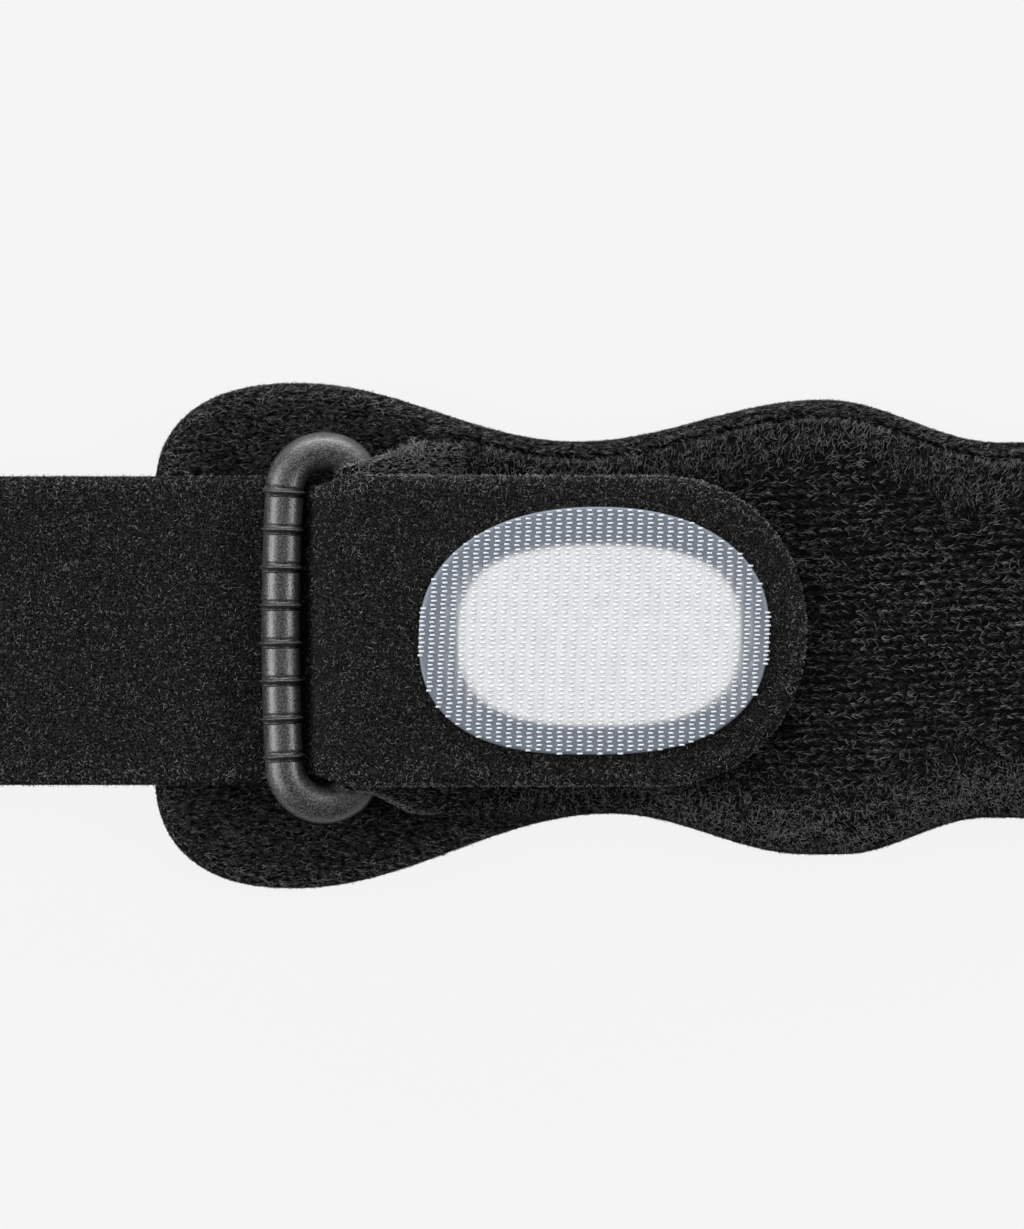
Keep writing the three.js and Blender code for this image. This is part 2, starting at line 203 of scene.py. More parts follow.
def smoothstep(low, high, value):
    """0 below low, 1 above high and an even S between."""
    t = np.clip((value - low) / (high - low), 0, 1)
    return t * t * (3 - 2 * t)


def close_seams(piece, distance=0.00002):
    """Merges the doubled points where a grid meets itself, and points every face outwards."""
    shape = bmesh.new()
    shape.from_mesh(piece.data)
    bmesh.ops.remove_doubles(shape, verts=shape.verts, dist=distance)
    bmesh.ops.recalc_face_normals(shape, faces=shape.faces)
    shape.to_mesh(piece.data)
    shape.free()


# The rim is a closed line of points. Loops run round it from the rim to a spine, which is a straight line that stops
# short of both ends.
rim_radius = 2.0
spine_stop = 25.0
corner_steps, wave_steps, end_steps, spine_steps = 26, 150, 16, 9
corner_length = pad_waves["top"][0][0] * half_pad
quarter = np.linspace(0, np.pi / 2, corner_steps, endpoint=False)
corner_x = half_pad - corner_length * (1 - np.cos(quarter) ** (2 / corner_exponent))
wave_x = np.linspace(half_pad - corner_length, -half_pad + corner_length, wave_steps)
side_x = np.concatenate([corner_x, wave_x, -corner_x[::-1]])
pad_end = np.array([half_pad])
end_y = np.linspace(-pad_edge(pad_end, "bottom")[0], pad_edge(pad_end, "top")[0], end_steps)
rim_x = np.concatenate([side_x, np.full(end_steps - 2, -half_pad), side_x[::-1], np.full(end_steps - 2, half_pad)])
rim_y = np.concatenate([pad_edge(side_x, "top"), end_y[1:-1][::-1], -pad_edge(side_x[::-1], "bottom"), end_y[1:-1]])
spine_x = np.clip(rim_x, -half_pad + spine_stop, half_pad - spine_stop)
to_spine = np.stack([spine_x - rim_x, -rim_y], -1)
reach = np.linalg.norm(to_spine, axis=1)
round_inset = rim_radius * (1 - np.cos(np.linspace(0, np.pi / 2, 9)))
inset = np.concatenate([round_inset, [2.3, 2.7, 3.3, 4.2, 5.4, 7.0]])
fine_inset = np.unique(np.concatenate([inset, np.arange(1.0, 3.0, 0.14)]))


def pad_shell(insets, height_at):
    """Loops of points round the pad, each moved in from the rim towards the spine by one of the insets, then in even
    steps to the spine itself, level with the middle. height_at gives a loop's height from its inset."""

    def loop(share, depth):
        flat = np.full(len(rim_x), depth)
        return np.column_stack([rim_x + to_spine[:, 0] * share, rim_y + to_spine[:, 1] * share, height_at(flat)])

    first = insets[-1] / reach
    steps = np.linspace(0, 1, spine_steps)[1:]
    return [loop(depth / reach, depth) for depth in insets] + [loop(first + (1 - first) * s, 30.0) for s in steps]


# The lip runs along the upper edge and fades out before the lobes. The cloth past its groove lies a little lower.
lip_fade = (-70, -64)
lip_zone = smoothstep(*lip_fade, rim_x) * smoothstep(*lip_fade, -rim_x) * (rim_y > 0)
groove_inset, groove_width, groove_depth = 1.9, 0.4, 0.5
inner_drop = 0.25


def rim_drop(depth):
    """How far the quarter round at the rim lies below the level cloth, at a depth in from the rim."""
    outward = np.clip(rim_radius - depth, 0, rim_radius)
    return rim_radius - np.sqrt(np.clip(rim_radius**2 - outward**2, 0, None))


def upper_height(depth):
    """A quarter round at the rim, then level. Along the lip a bell-shaped groove is pressed in, and the cloth past it
    lies a little lower."""
    groove = groove_depth * np.exp(-(((depth - groove_inset) / groove_width) ** 2))
    return pad_top - rim_drop(depth) - lip_zone * (groove + inner_drop * smoothstep(1.6, 2.4, depth))


def lower_height(depth):
    """The same quarter round upside down, then level."""
    return pad_bottom + rim_drop(depth)


upper = pad_shell(fine_inset, upper_height)
lower = pad_shell(inset, lower_height)
pad_points = np.concatenate(lower[::-1] + upper[1:])
pad_points += (pad_middle_x, strap_middle_y, 0)
pad_faces = grid_faces(len(lower) + len(upper) - 1, len(rim_x), around=True)

black_pile = dict(deep="#010101", tuft="#262526", dark="#040304", mid="#161516", bright="#5c5a5c")


def cloth_material(name, colours, scale_mm, bump_mm, drawn=1.0):
    """Dark brushed cloth: a deep ground with finer and coarser mottling, and the same mottling as relief. scale_mm is
    the size of its finest tufts, and drawn is how many times longer they are along x."""
    material, tree = new_material(name)
    place = add(tree, "ShaderNodeTexCoord").outputs["Object"]
    along = add(tree, "ShaderNodeMapping", [("Vector", place)], Scale=(1 / drawn, 1, 1))
    tufts_per_metre = 1000 / scale_mm
    clumps = add(
        tree, "ShaderNodeTexNoise", [("Vector", along.outputs[0])], Scale=tufts_per_metre, Detail=2.0, Roughness=0.6
    )
    stops = [(0.46, colours["deep"]), (0.64, colours["tuft"])]
    ramp = add(tree, "ShaderNodeValToRGB", [("Fac", clumps.outputs[0])], stops)
    relief = add(tree, "ShaderNodeBump", [("Height", clumps.outputs[0])], Strength=1.0, Distance=bump_mm * 0.001)
    surface = add(
        tree,
        "ShaderNodeBsdfPrincipled",
        [("Base Color", ramp.outputs[0]), ("Normal", relief.outputs[0])],
        Roughness=0.9,
        Specular_IOR_Level=0.03,
    )
    add(tree, "ShaderNodeOutputMaterial", [("Surface", surface.outputs[0])])
    return material


def pile_material(name, colours):
    """Drawn fibres, each its own shade: the shade attribute runs from the dark colour to the bright one. They are a
    little shiny, as smooth filaments are."""
    material, tree = new_material(name)
    shade = add(tree, "ShaderNodeAttribute", attribute_name="shade")
    stops = [(0, colours["dark"]), (0.55, colours["mid"]), (1, colours["bright"])]
    ramp = add(tree, "ShaderNodeValToRGB", [("Fac", shade.outputs["Fac"])], stops)
    surface = add(
        tree, "ShaderNodeBsdfPrincipled", [("Base Color", ramp.outputs[0])], Roughness=0.6, Specular_IOR_Level=0.06
    )
    add(tree, "ShaderNodeOutputMaterial", [("Surface", surface.outputs[0])])
    return material


def scatter(points, faces, per_mm2, rng):
    """Random places on a surface of quads or triangles. per_mm2 is the count wanted per square millimetre at each face.
    Returns the places, the faces' normals there and the face numbers."""
    corners = points[faces]
    if faces.shape[1] == 4:
        owner = np.repeat(np.arange(len(faces)), 2)
        corners = np.concatenate([corners[:, [0, 1, 2]], corners[:, [0, 2, 3]]], 1).reshape(-1, 3, 3)
    else:
        owner = np.arange(len(faces))
    edge_a, edge_b = corners[:, 1] - corners[:, 0], corners[:, 2] - corners[:, 0]
    across = np.cross(edge_a, edge_b)
    size = np.linalg.norm(across, axis=1)
    wanted = size / 2 * np.broadcast_to(per_mm2, len(faces))[owner]
    which = np.repeat(np.arange(len(owner)), rng.poisson(wanted))
    u, v = rng.random((2, len(which)))
    fold = u + v > 1
    u[fold], v[fold] = 1 - u[fold], 1 - v[fold]
    places = corners[which, 0] + edge_a[which] * u[:, None] + edge_b[which] * v[:, None]
    return places, across[which] / size[which, None], owner[which]


def unit(vectors):
    """Each row scaled to length 1."""
    return vectors / np.maximum(np.linalg.norm(vectors, axis=1, keepdims=True), 1e-9)


def fibres(roots, normals, rng, length, width, lift, flow=(1, 0, 0), spread=9.0, curl=0.8, sink=0.06):
    """Curved ribbons, one at each root. A ribbon starts a little under the surface, rises by up to lift over half its
    length and then turns by a random angle of about curl and falls back to a point. flow is the way the pile is brushed
    and spread the random angle about it. length, width and lift may differ from root to root."""
    count = len(roots)
    sideways = unit(np.cross(normals, np.broadcast_to(flow, (count, 3)) + 1e-4))
    forwards = np.cross(sideways, normals)
    first = rng.normal(0, 1, count) * spread
    second = first + rng.normal(0, 1, count) * curl
    size = (length * rng.uniform(0.55, 1.35, count))[:, None] / 2
    rise = (lift * rng.uniform(0.1, 1.0, count))[:, None]
    heading = [forwards * np.cos(a)[:, None] + sideways * np.sin(a)[:, None] for a in (first, second)]
    start = roots - normals * sink
    middle = start + heading[0] * size + normals * (rise + sink)
    tip = middle + heading[1] * size - normals * rise * 0.7
    twist = rng.uniform(-0.8, 0.8, count)[:, None]
    half = (np.broadcast_to(width, count) / 2)[:, None]
    across = [unit(np.cross(normals, h) + normals * twist) * half for h in heading]
    points = np.stack([start + across[0], start - across[0], middle + across[1], middle - across[1], tip], 1)
    first_point = np.arange(count)[:, None] * 5
    pattern = np.array([0, 1, 3, 0, 3, 2, 2, 3, 4])
    return points.reshape(-1, 3), (first_point + pattern).reshape(-1, 3)


def mark(piece, name, values):
    """Keeps one number for each point of a piece, which its material reads by that name."""
    piece.data.attributes.new(name, "FLOAT", "POINT").data.foreach_set("value", values.astype(np.float32))


def put_pile(name, points, faces, shade, material):
    """A piece of fibres that rides with the part. shade is one number for each fibre."""
    piece = put_mesh(name, points, faces, material, smooth=False)
    mark(piece, "shade", np.repeat(shade, 5))
    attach(piece, "root")
    return piece


# Polyester plush, knitted as loops that are cut and brushed along the pad. It looks deep black with soft streaks. Its
# tufts are about 0.1 mm across and are drawn at 0.26 mm, to show.
plush = cloth_material("brushed_polyester_plush", black_pile, 0.26, 0.1, 2.2)
# The plush's own filaments catch the light one by one, as grey flecks over black. They are 0.02 mm thick and are drawn
# at 0.056 mm.
plush_pile = pile_material("polyester_plush_fibres", black_pile)
pad = put_mesh("pad_plush", pad_points, pad_faces, plush)
close_seams(pad)
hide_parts("pad")
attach(pad, "root")


def in_rows(roots, pitch, strength):
    """Draws roots towards wavy rows that run along x, one pitch apart, so that dark lines open between the rows. The
    waves are a sum of three sines of x and y."""
    x, y = roots[:, 0], roots[:, 1]
    slow, middling = 0.3 * np.sin(0.75 * x + 1.9 * np.sin(0.21 * y)), 0.22 * np.sin(1.9 * x + 0.9 * y)
    wave = slow + middling + 0.12 * np.sin(4.1 * x - 2.3 * y)
    row = np.round((y + wave) / pitch) * pitch - wave
    return np.column_stack([x, y + (row - y) * strength, roots[:, 2]])


# The plush shows on the end lobes and on the lip. Under the cover and the strap it has no pile, and the underside has a
# sparse one. Right of the middle the fibres are fewer and wider, and cover the same.
pad_rng = np.random.default_rng(11)
pad_centres = pad_points[pad_faces].mean(1)
local_x = pad_centres[:, 0] - pad_middle_x
local_y = pad_centres[:, 1] - strap_middle_y
edge_gap = np.where(local_y > 0, pad_edge(local_x, "top") - local_y, pad_edge(local_x, "bottom") + local_y)
lobe_from, bare_rim, strap_reach = 62, 3.2, 15
in_lobe = np.abs(local_x) > lobe_from
faces_up = pad_centres[:, 2] > pad_bottom + 1.2
beside_strap = np.abs(local_y) > strap_reach
shows = (in_lobe | (edge_gap < bare_rim)) & ~((np.abs(local_y) < strap_reach) & in_lobe & faces_up)
density = np.where(faces_up, np.where(shows, 19.5, 0.0), np.where(beside_strap, 1.2, 0.0))
density = density * np.where(local_x > 0, 0.55, 1.0)
roots, normals, owner = scatter(pad_points, pad_faces, density, pad_rng)
upright = smoothstep(0.1, 0.8, normals[:, 2])
roots = in_rows(roots, 0.88, 0.6 * upright)
size = 0.42 + 0.58 * upright
width = np.where(local_x[owner] > 0, 0.07, 0.056)
points, faces = fibres(roots, normals, pad_rng, 0.74 * size, width, 0.33 * size, spread=0.45, curl=0.9)
# The lip and the rims of the end lobes get lighter fibres: painted light, where these rounded edges catch the light.
on_lip = (edge_gap[owner] < 1.7) & (local_y[owner] > 0) & ~in_lobe[owner]
to_rim = np.minimum(edge_gap, 0.6 * (half_pad - np.abs(local_x)))[owner]
rim_light = 0.2 * on_lip + 0.32 * in_lobe[owner] * (1 - smoothstep(0.5, 3.0, to_rim))
shade = np.clip(pad_rng.beta(1.2, 1.9, len(roots)) + rim_light, 0, 1)
put_pile("pad_pile", points, faces, shade, plush_pile)

# The cover
# A panel of brushed knit with a fleecy back, sewn over the pad. Its left end is drawn in, wraps the ring's right bar
# and is held under it, with raw fluffy cut edges. The knit shows as rows of slanted loops, and towards both side edges
# it is brushed up into plush.

clearance = 0.3
cover_thickness = 1.0
cover_height = pad_top + clearance + cover_thickness / 2
cover_top_margin, cover_bottom_margin = 2.25, 0.55
bar_radius = 2.0
ring_length, ring_width, ring_from_pad_end = 40.5, 12.2, 17.7
ring_middle_x = pad_middle_x - half_pad + ring_from_pad_end
strap_thickness = 1.8
left_bar_z = pad_top + 2 * clearance + strap_thickness + bar_radius
right_bar_z = cover_height + cover_thickness / 2 + clearance + bar_radius
bar_span = ring_width - 2 * bar_radius
ring_tilt = np.arcsin((left_bar_z - right_bar_z) / bar_span)
left_bar_x = ring_middle_x - bar_span / 2 * np.cos(ring_tilt)
right_bar_x = ring_middle_x + bar_span / 2 * np.cos(ring_tilt)
landing_reach, landing_radius = 14.0, 12.0
landing_x = right_bar_x + landing_reach
cover_end_x = 2 * pad_middle_x - right_bar_x
flap_rise = landing_radius - cover_thickness - clearance
flap_end_x = landing_x - np.sqrt(landing_radius**2 - flap_rise**2) - 2 * clearance
# The drawn-in end: distance past the ring's bar, then the half widths above and below the strap's middle line.
shoulder = np.array(
    [[0, 17.44, 16.56], [1.54, 18.08, 17.12], [2.94, 18.5, 17.92], [4.0, 19.0, 18.48], [5.12, 19.41, 18.96]]
)
# The same half widths round the bar, by how steeply the cloth runs there, in degrees.
wrap_slopes = [20, 45, 70, 88]
wraps = {"top": [17.3, 17.0, 16.5, 14.45], "bottom": [16.6, 16.4, 15.5, 13.85]}


def belt_route(stops, step):
    """A route in the XZ plane that runs straight between round turns, as a belt does. A stop is x, z, radius and turn,
    where turn is 1 anticlockwise or -1 clockwise. Returns x, z, angle and distance along, about one step apart."""
    legs = []
    for (x0, z0, r0, t0), (x1, z1, r1, t1) in zip(stops, stops[1:]):
        offset = t1 * r1 - t0 * r0
        length = np.sqrt((x1 - x0) ** 2 + (z1 - z0) ** 2 - offset**2)
        legs.append((np.arctan2(z1 - z0, x1 - x0) - np.arctan2(offset, length), length))
    rows = []
    for number, (x, z, radius, turn) in enumerate(stops):
        angles = np.array([legs[min(number, len(legs) - 1)][0]])
        if 0 < number < len(legs):
            into, out = legs[number - 1][0], legs[number][0]
            sweep = ((out - into) * turn) % (2 * np.pi)
            angles = into + turn * np.linspace(0, sweep, max(2, int(np.ceil(sweep * radius / step))))
        rows.append(np.column_stack([x + np.sin(angles) * turn * radius, z - np.cos(angles) * turn * radius, angles]))
        if number < len(legs):
            angle, length = legs[number]
            on = np.linspace(0, length, max(2, int(np.ceil(length / step))))[1:-1, None]
            rows.append(rows[-1][-1] * [1, 1, 0] + on * [np.cos(angle), np.sin(angle), 0] + [0, 0, angle])
    route = np.concatenate(rows)
    moved = np.hypot(*np.diff(route[:, :2], axis=0).T)
    route = route[np.concatenate([[True], moved > 1e-6])]
    angle = np.unwrap(route[:, 2])
    along = np.concatenate([[0], np.cumsum(np.hypot(*np.diff(route[:, :2], axis=0).T))])
    return route[:, 0], route[:, 1], angle, along


def with_fine_ends(along):
    """Distances along a route, with extra ones close to both ends for their rounding."""
    close = np.array([0.0, 0.02, 0.07, 0.15, 0.27, 0.42, 0.6, 0.8, 1.05, 1.4])
    return np.unique(np.concatenate([close, along[(along > 1.6) & (along < along[-1] - 1.6)], along[-1] - close]))


def strip(route, half_up, half_down, upper_half, lower_half, columns, lift=None):
    """Cloth swept along a route. Across it, y runs from -half_down to half_up as the sine of an even angle, so points
    crowd at the edges. upper_half and lower_half give the thickness each side of the middle from the distance to the
    nearest edge, and lift moves the middle."""
    x, z, angle, along = route
    theta = np.linspace(-np.pi / 2, np.pi / 2, columns)
    middle, half = (half_up - half_down) / 2, (half_up + half_down) / 2
    y = middle[:, None] + half[:, None] * np.sin(theta)
    slope_up, slope_down = np.gradient(half_up, along), np.gradient(half_down, along)
    gap_up = (half_up[:, None] - y) / np.sqrt(1 + slope_up**2)[:, None]
    gap_down = (half_down[:, None] + y) / np.sqrt(1 + slope_down**2)[:, None]
    end_gap = np.minimum(along, along[-1] - along)[:, None]
    raised = np.zeros_like(y) if lift is None else lift(x[:, None], y, gap_up, gap_down)
    sides = []
    for way, profile in ((1, upper_half), (-1, lower_half)):
        height = raised + way * profile(np.clip(np.minimum(np.minimum(gap_up, gap_down), end_gap), 0, None))
        px, pz = x[:, None] - np.sin(angle)[:, None] * height, z[:, None] + np.cos(angle)[:, None] * height
        sides.append(np.stack([px, y + strap_middle_y, pz], -1))
    loops = np.concatenate([sides[0], sides[1][:, ::-1]], 1)
    return loops.reshape(-1, 3), grid_faces(len(x), 2 * columns, around=True)


def rounded(half_thickness, radius):
    """Half the thickness at a distance from the edge: an ellipse quarter over the radius, then level."""
    return lambda gap: half_thickness * np.sqrt(np.clip(1 - np.clip(1 - gap / radius, 0, 1) ** 2, 0, 1))


cover_stops = [
    (flap_end_x, cover_height, 0, 0),
    (right_bar_x, right_bar_z, bar_radius + clearance + cover_thickness / 2, -1),
    (landing_x, cover_height + landing_radius, landing_radius, 1),
    (cover_end_x, cover_height, 0, 0),
]
cx, cz, cangle, calong = belt_route(cover_stops, 0.6)
fine_along = with_fine_ends(calong)
cx, cz, cangle = (np.interp(fine_along, calong, values) for values in (cx, cz, cangle))
past_bar = (pad_middle_x - right_bar_x) - np.abs(cx - pad_middle_x)
in_ring = cangle > np.radians(wrap_slopes[0])
widths = []
for column, side, margin in ((1, "top", cover_top_margin), (2, "bottom", cover_bottom_margin)):
    drawn_in = np.interp(past_bar, shoulder[:, 0], shoulder[:, column])
    waist = half_pad * (1 - pad_waves[side][1][0])
    drawn_in = np.where(np.abs(cx - pad_middle_x) < waist, np.inf, drawn_in)
    along_pad = np.minimum(drawn_in, pad_edge(cx - pad_middle_x, side) - margin)
    widths.append(np.where(in_ring, np.interp(np.degrees(cangle), wrap_slopes, wraps[side]), along_pad))
kernel = np.ones(3) / 3
widths = [np.convolve(np.pad(w, 1, mode="edge"), kernel, "valid") for w in widths]
cover_columns = 50


def cover_lift(x, y, gap_up, gap_down):
    """The lower side rolls down towards the pad's rim over 4 mm, and the drawn-in end has soft gathers along it."""
    flat = smoothstep(landing_x - 8, landing_x, x)
    roll = -1.0 * (1 - smoothstep(0, 4.0, gap_down)) ** 2
    off_edges = smoothstep(0, 3, np.minimum(gap_up, gap_down))
    gathers = 0.1 * np.sin(y * 1.9 + 0.6 * np.sin(y * 0.7)) * (1 - flat) * off_edges
    return flat * roll + gathers


cover_points, cover_faces = strip(
    (cx, cz, cangle, fine_along), *widths, rounded(0.5, 0.8), rounded(0.5, 0.6), cover_columns, cover_lift
)
# The knit's ground under its stitches, in a darker copy of the plush colours: painted shade, as little light gets down
# to it. Its yarn is about 0.28 mm thick.
knit = cloth_material("brushed_knit_ground_painted_shade", dict(black_pile, tuft="#090809"), 0.28, 0.1)
cover = put_mesh("cover_knit", cover_points, cover_faces, knit)
close_seams(cover)
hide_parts("cover")
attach(cover, "root")

# One stitch is 0.5 by 0.7 mm on such a knit. It is drawn a third larger, so that the rows show.
loop_pitch, row_pitch = 0.70, 0.95
cover_rng = np.random.default_rng(23)


def panel_gaps(x, y):
    """Distances of a place on the panel from its upper and lower edges."""
    local = x - pad_middle_x
    up = pad_edge(local, "top") - cover_top_margin - (y - strap_middle_y)
    down = pad_edge(local, "bottom") - cover_bottom_margin + (y - strap_middle_y)
    return up, down


def knit_share(x, y):
    """How clearly the knit shows: fully along the middle, not at all where it is brushed up beside the edges."""
    up, down = panel_gaps(x, y)
    wander = 1.1 * np.sin(x * 0.31) + 0.7 * np.sin(x * 0.83 + 1.0)
    sides = smoothstep(3.4, 6.5, up + wander) * smoothstep(5.0, 9.5, down + wander)
    left_end = smoothstep(landing_x - 3, landing_x + 4, x)
    return sides * left_end * smoothstep(landing_x - 3, landing_x + 4, 2 * pad_middle_x - x)


columns = np.arange(landing_x - 3, cover_end_x, loop_pitch)
rows = np.arange(-21.0, 22.0, row_pitch)
stitch_x, stitch_y = (grid.ravel() for grid in np.meshgrid(columns, rows))
long_drift, short_drift = 0.45 * np.sin(stitch_x * 0.085 + 0.4), 0.16 * np.sin(stitch_x * 0.5 + stitch_y * 0.8)
stitch_y = stitch_y + long_drift + short_drift + 0.07 * np.sin(stitch_x * 1.9 + stitch_y * 2.3)
row_shift = np.repeat(cover_rng.uniform(0, loop_pitch, len(rows)), len(columns))
stitch_x = stitch_x + row_shift + cover_rng.normal(0, 0.1, len(stitch_x))
stitch_y = stitch_y + cover_rng.normal(0, 0.06, len(stitch_y))
clear = knit_share(stitch_x, stitch_y)
tip_reach = ring_middle_x + 40
under_tip = (stitch_x < tip_reach) & (np.abs(stitch_y - strap_middle_y) < 13)
shown = (clear > cover_rng.uniform(0.1, 0.75, len(clear))) & ~under_tip
stitch_x, stitch_y, clear = stitch_x[shown], stitch_y[shown], clear[shown]
leg_lean = np.radians(18)
leg_half, leg_bow = 0.14, 0.14


def yarn_legs(x, y, way, rng):
    """The core of each leg of a stitch: a three-sided spindle of five points that leaves the row's middle line at about
    18 degrees, upwards or downwards by way, and arches over the next one. Returns points, faces, starts and ways."""
    count = len(x)
    lean = leg_lean * way + rng.normal(0, 0.15, count)
    along = np.column_stack([np.cos(lean), np.sin(lean), np.zeros(count)])
    across = np.column_stack([-np.sin(lean), np.cos(lean), np.zeros(count)])
    size = rng.uniform(0.95, 1.25, count)[:, None]
    start = np.column_stack([x, y + 0.03 * way, np.full(count, cover_height + 0.40)])
    up = np.array([0, 0, 1.0])
    middle = start + along * size * 0.5 + up * leg_bow
    wide, high = across * leg_half, up * leg_half
    points = np.stack([start, middle - wide, middle + wide, middle + high, start + along * size], 1)
    pattern = [(0, 1 + (i + 1) % 3, 1 + i) for i in range(3)] + [(4, 1 + i, 1 + (i + 1) % 3) for i in range(3)]
    faces = (np.arange(count)[:, None] * 5 + np.array(pattern).ravel()).reshape(-1, 3)
    return points.reshape(-1, 3), faces, start, along


core_points, core_faces, leg_starts, leg_ways = [], [], [], []
for way in (1, -1):
    points, faces, starts, along = yarn_legs(stitch_x, stitch_y, way, cover_rng)
    core_faces.append(faces + sum(len(p) for p in core_points))
    core_points.append(points)
    leg_starts.append(starts)
    leg_ways.append(along)
cover_pile_colours = dict(black_pile, dark="#020202", mid="#181718", bright="#5e5b5e")
# Spun acrylic yarn, brushed after knitting: a core under loose filaments, which blur each stitch.
yarn = pile_material("brushed_acrylic_yarn", cover_pile_colours)
knit_loops = put_mesh("cover_loops", np.concatenate(core_points), np.concatenate(core_faces), yarn)
leg_shade = cover_rng.beta(3.0, 4.6, 2 * len(stitch_x))
# The cores take a fifth of their legs' shade: painted shade, as they lie under the filaments.
mark(knit_loops, "shade", np.repeat(leg_shade * 0.2, 5))
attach(knit_loops, "root")

filaments = 5
leg_starts = np.repeat(np.concatenate(leg_starts), filaments, axis=0)
leg_ways = np.repeat(np.concatenate(leg_ways), filaments, axis=0)
across = np.column_stack([-leg_ways[:, 1], leg_ways[:, 0], np.zeros(len(leg_ways))])
place = np.tile(np.linspace(-0.1, 0.1, filaments), len(leg_ways) // filaments)
place = place + cover_rng.normal(0, 0.03, len(leg_ways))
points, faces = fibres(
    leg_starts + across * place[:, None] + [0, 0, 0.16],
    np.broadcast_to([0.0, 0, 1], leg_starts.shape),
    cover_rng,
    0.85,
    0.042,
    0.2 - 2.0 * place**2,
    flow=leg_ways,
    spread=0.25,
    curl=0.55,
)
shade = np.clip(np.repeat(leg_shade, filaments) + cover_rng.normal(0.02, 0.34, len(leg_ways)), 0, 1)
put_pile("cover_filaments", points, faces, shade, yarn)


def way_out_of(points, faces, upper):
    """1 where the normals of the chosen upper faces point out of the cloth and -1 where they point into it, by the sign
    of their summed height. A quad's normal is the cross product of its diagonals."""
    diagonal_a = points[faces[:, 2]] - points[faces[:, 0]]
    diagonal_b = points[faces[:, 3]] - points[faces[:, 1]]
    return np.sign(np.cross(diagonal_a, diagonal_b)[upper][:, 2].sum())


# The fluff is dense where the knit is brushed up and sparse where it shows. It is denser below the middle line, and
# thinner on the right half and under the strap.
centres = cover_points[cover_faces].mean(1)
outward = (cover_faces[:, 0] % (2 * cover_columns) < cover_columns).astype(float)
clear_there = knit_share(centres[:, 0], centres[:, 1])
by_side = np.where(centres[:, 0] > 8, 0.55, np.where(centres[:, 1] < 0, 1.25, 1.0))
density = outward * (21.5 * (1 - clear_there) + 1.5 * clear_there) * by_side
under_end = (centres[:, 0] > left_bar_x) & (centres[:, 0] < tip_reach) & (np.abs(centres[:, 1]) < 12)
under_root = (centres[:, 0] > cover_end_x - 15) & (np.abs(centres[:, 1]) < 15)
density[under_end | under_root] = 1.0
way_out = way_out_of(cover_points, cover_faces, outward > 0)
roots, normals, _ = scatter(cover_points, cover_faces, density, cover_rng)
normals = normals * way_out
fleece = 1 - knit_share(roots[:, 0], roots[:, 1])
on_end = np.minimum(roots[:, 0], 2 * pad_middle_x - roots[:, 0]) < landing_x - 4
stitch_top = np.where(fleece < 0.5, 0.22, 0.0)[:, None]
on_upper_side = smoothstep(-4, 4, roots[:, 1])
on_lower_side = 1 - on_upper_side
upwards = fleece * on_upper_side * ~on_end
combed = np.column_stack([1 - 0.7 * upwards, upwards, 0 * upwards])
points, faces = fibres(
    roots + normals * stitch_top,
    normals,
    cover_rng,
    0.75 + 0.15 * on_upper_side * fleece,
    np.where(roots[:, 0] > 8, 0.064, 0.047),
    0.15 + np.where(on_end, 0.1, 0.3) * fleece,
    flow=combed,
    spread=0.55 + np.where(on_end, -0.15, 1.2 - 1.05 * on_upper_side) * fleece,
    curl=0.65 + 0.3 * fleece * on_lower_side,
)
# Beside the panel's edges, more along the lower side, and on the drawn-in ends, more on their upper side, the fibres'
# shade is raised: painted light.
beside_edge = 1 - smoothstep(1.5, 6.5, np.minimum(*panel_gaps(roots[:, 0], roots[:, 1])))
edge_light = beside_edge * (0.15 + 0.17 * on_lower_side * smoothstep(-42, -28, roots[:, 0]))
light = 0.03 * fleece + np.where(on_end, 0.14 + 0.2 * (roots[:, 1] > 0), edge_light)
shade = np.clip(cover_rng.beta(1.5, 1.9, len(roots)) + light, 0, 1)
# Fleece that wire rollers raise from the same yarn. Its filaments are 0.02 mm thick and are drawn at 0.047 mm, so the
# eye sees fine grey hairs lying over black.
cover_fluff = pile_material("brushed_knit_fluff", cover_pile_colours)
put_pile("cover_pile", points, faces, shade, cover_fluff)

# Beside the ring the knit is cut raw. A thin line of frayed ends follows the cut, and above the ring some of them stand
# out as a tuft.
raw_edge = (np.minimum(centres[:, 0], 2 * pad_middle_x - centres[:, 0]) < landing_x - 4) & (outward > 0)
cover_row = np.arange(len(cover_faces)) // (2 * cover_columns)
beyond = centres[:, 1] - strap_middle_y
above = beyond > 0
raw_gap = np.where(above, widths[0][cover_row] - beyond, widths[1][cover_row] + beyond)
cut_rng = np.random.default_rng(29)
tuft = (centres[:, 0] > -61.6) & (centres[:, 0] < -58.8) & above
cut_density = 120.0 * (raw_gap < 0.16) * (centres[:, 0] < -57.6 - 1.6 * above)
tuft_density = 24.0 * (raw_gap < 0.8) * tuft + 6.0 * (raw_gap < 0.5) * above
# The same yarn at a cut, in a lighter copy: painted light, for loose ends that stand clear of the shadow and catch the
# light.
cut_ends_painted_light = pile_material("brushed_knit_cut_ends_painted_light", dict(black_pile, dark="#151415", mid="#3c3a3c", bright="#8c898c"))
for name, here, length, lift, spread in (
    ("cover_cut_edge", cut_density, 0.5, 0.1, 0.25),
    ("cover_tufts", tuft_density, 0.9, 0.4, 9.0),
):
    roots, normals, _ = scatter(cover_points, cover_faces, here * raw_edge, cut_rng)
    points, faces = fibres(roots, normals * way_out, cut_rng, length, 0.055, lift, spread=spread, curl=1.0)
    put_pile(name, points, faces, cut_rng.beta(2.0, 1.6, len(roots)), cut_ends_painted_light)

# The ring
# A long oval loop of moulded satin black plastic. Its right bar sits in the cover's wrapped end, and its left bar has
# low rounded ribs across it, which keep the strap from slipping.

